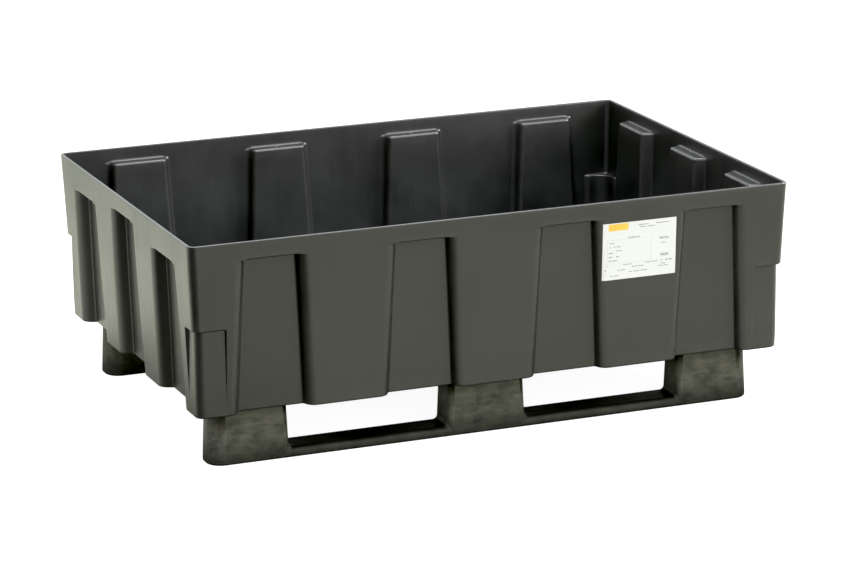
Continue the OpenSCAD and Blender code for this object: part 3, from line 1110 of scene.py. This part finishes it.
def floor_material():
    """A white floor: overexposed where the camera sees it, unevenly lit where the tub mirrors it."""
    material = bpy.data.materials.new("studio_floor_white")
    material.use_nodes = True
    material.node_tree.nodes.clear()
    output = add(material, "ShaderNodeOutputMaterial")
    clouds = noise_at(material, position(material), 3.0, 2.0)
    tint = blend_colours(material, clouds, FLOOR_ALBEDO, FLOOR_ALBEDO_SHADE)
    place_node = add(material, "ShaderNodeTexCoord")
    across = add(material, "ShaderNodeVectorMath", operation="DOT_PRODUCT")
    set_input(material, across, 0, place_node.outputs["Object"])
    set_input(material, across, 1, FLOOR_SHADE_AXIS)
    apart = add(material, "ShaderNodeSeparateXYZ", {"Vector": place_node.outputs["Object"]})
    shade = math_node(material, "MULTIPLY",
                      ramp(material, across.outputs["Value"], FLOOR_DARK_AT, FLOOR_LIGHT_AT, 1.0, 0.0),
                      ramp(material, apart.outputs["Y"], FLOOR_DARK_AHEAD, FLOOR_LIGHT_BEHIND, 1.0, 0.0))
    bright = ramp(material, shade, 0.0, 1.0, 1.0, FLOOR_DARK)
    nearer = ramp(material, apart.outputs["Y"], FLOOR_FRONT_AT, FLOOR_BACK_AT, FLOOR_FRONT, 1.0)
    bright = math_node(material, "MULTIPLY", bright, nearer)
    past_end = math_node(material, "DIVIDE", math_node(material, "ABSOLUTE", apart.outputs["X"]),
                         HALF_LENGTH * MM)
    past_side = math_node(material, "DIVIDE", math_node(material, "ABSOLUTE", apart.outputs["Y"]),
                          HALF_WIDTH * MM)
    past = math_node(material, "MAXIMUM", past_end, past_side)
    under = ramp(material, past, FLOOR_UNDER_TO, FLOOR_CLEAR_FROM, FLOOR_UNDER, 1.0)
    bright = math_node(material, "MULTIPLY", bright, under)
    tint = blend_colours(material, bright, (0.0, 0.0, 0.0, 1), tint)
    lit = add(material, "ShaderNodeBsdfDiffuse", {"Color": tint})
    seen = add(material, "ShaderNodeBsdfDiffuse", {"Color": FLOOR_SEEN})
    glow = add(material, "ShaderNodeEmission", {"Color": (1.0, 1.0, 1.0, 1), "Strength": FLOOR_GLOW})
    both = add(material, "ShaderNodeAddShader", {0: seen.outputs[0], 1: glow.outputs[0]})
    path = add(material, "ShaderNodeLightPath")
    mixed = add(material, "ShaderNodeMixShader",
                {0: path.outputs["Is Camera Ray"], 1: lit.outputs[0], 2: both.outputs[0]})
    set_input(material, output, "Surface", mixed.outputs[0])
    return material


def floor():
    half = FLOOR_SIZE / 2
    points = [(-half, -half, 0), (half, -half, 0), (half, half, 0), (-half, half, 0)]
    piece = make_object("studio_floor", np.array(points), [(0, 1, 2, 3)], smooth=False)
    piece.data.materials.append(floor_material())


def lobe(world, way, direction, low, high):
    """1 towards a direction, falling smoothly to 0 away from it."""
    facing = add(world, "ShaderNodeVectorMath", operation="DOT_PRODUCT")
    set_input(world, facing, 0, way)
    set_input(world, facing, 1, Vector(direction).normalized())
    level = add(world, "ShaderNodeMapRange", interpolation_type="SMOOTHSTEP")
    set_input(world, level, "Value", facing.outputs["Value"])
    set_input(world, level, "From Min", low)
    set_input(world, level, "From Max", high)
    return level.outputs[0]


def sky():
    """Soft white room light: brighter in front and behind, darker low in front on the left."""
    world = bpy.data.worlds.new("studio")
    bpy.context.scene.world = world
    world.use_nodes = True
    background = world.node_tree.nodes["Background"]
    way = add(world, "ShaderNodeTexCoord").outputs["Generated"]
    room = lobe(world, way, ROOM_DIRECTION, 0.60, 0.95)
    low_down = lobe(world, way, (0.0, 0.0, -1.0), -0.30, 0.0)
    dark = math_node(world, "MULTIPLY", room, low_down)
    shade = math_node(world, "MULTIPLY", dark, -SKY_LEVEL * ROOM_DEPTH)
    key = math_node(world, "MULTIPLY", lobe(world, way, KEY_DIRECTION, 0.72, 0.97), KEY_LEVEL)
    back = math_node(world, "MULTIPLY", lobe(world, way, BACK_DIRECTION, 0.55, 0.95), BACK_LEVEL)
    fill = math_node(world, "MULTIPLY", lobe(world, way, FILL_DIRECTION, 0.80, 0.98), FILL_LEVEL)
    total = math_node(world, "ADD", key, back)
    total = math_node(world, "ADD", total, fill)
    total = math_node(world, "ADD", total, math_node(world, "ADD", shade, SKY_LEVEL))
    set_input(world, background, "Strength", total)
    background.inputs["Color"].default_value = SKY_COLOUR


def softbox():
    light = bpy.data.lights.new("softbox", "AREA")
    light.shape = "RECTANGLE"
    light.size, light.size_y = SOFTBOX_SIZE
    light.energy = SOFTBOX_WATTS
    piece = bpy.data.objects.new("softbox", light)
    piece.location = SOFTBOX_PLACE
    bpy.context.scene.collection.objects.link(piece)


def side_softbox(receiver):
    light = bpy.data.lights.new("side_softbox", "AREA")
    light.shape = "RECTANGLE"
    light.size, light.size_y = SIDE_SIZE
    light.energy = SIDE_WATTS
    piece = bpy.data.objects.new("side_softbox", light)
    piece.location = SIDE_PLACE
    aim = Vector(SIDE_AIM) - Vector(SIDE_PLACE)
    piece.rotation_euler = aim.to_track_quat("-Z", "Y").to_euler()
    bpy.context.scene.collection.objects.link(piece)
    lit = bpy.data.collections.new("lit_by_side_softbox")
    lit.objects.link(receiver)
    piece.light_linking.receiver_collection = lit


def camera():
    data = bpy.data.cameras.new("camera")
    data.lens = LENS
    data.sensor_width = 36.0
    data.clip_end = 200.0
    piece = bpy.data.objects.new("camera", data)
    bpy.context.scene.collection.objects.link(piece)
    axes = Matrix((CAMERA_RIGHT, CAMERA_UP, [-v for v in CAMERA_AHEAD])).transposed()
    piece.matrix_world = Matrix.Translation(CAMERA_PLACE) @ axes.to_4x4()
    bpy.context.scene.camera = piece
    view = bpy.context.scene.view_settings
    view.view_transform = "Standard"
    view.use_curve_mapping = True
    view.curve_mapping.black_level = BLACK_LEVEL
    view.curve_mapping.update()


camera()
floor()
sky()
softbox()

tub_piece = tub()
tub_piece.data.materials.append(formed_plastic())
side_softbox(tub_piece)
runner_material = recycled_plastic()
for runner_node in ("front_runner", "rear_runner"):
    runner(runner_node).data.materials.append(runner_material)
label()

pad_material = pad_plastic()
insert_metal = metal("steel_insert", (0.50, 0.36, 0.14, 1), (0.66, 0.50, 0.24, 1), 0.22, 0.38, 300.0)
washer_metal = metal("steel_washer", (0.46, 0.48, 0.50, 1), (0.66, 0.68, 0.70, 1), 0.28, 0.45, 260.0)
screw_metal = metal("steel_screw", (0.40, 0.41, 0.43, 1), (0.58, 0.59, 0.61, 1), 0.22, 0.40, 340.0)
for side in ("front", "rear"):
    dress(side + "_weld_pads", pad_material)
    dress(side + "_threaded_inserts", insert_metal)
    dress(side + "_washers", washer_metal)
    dress(side + "_screws", screw_metal)
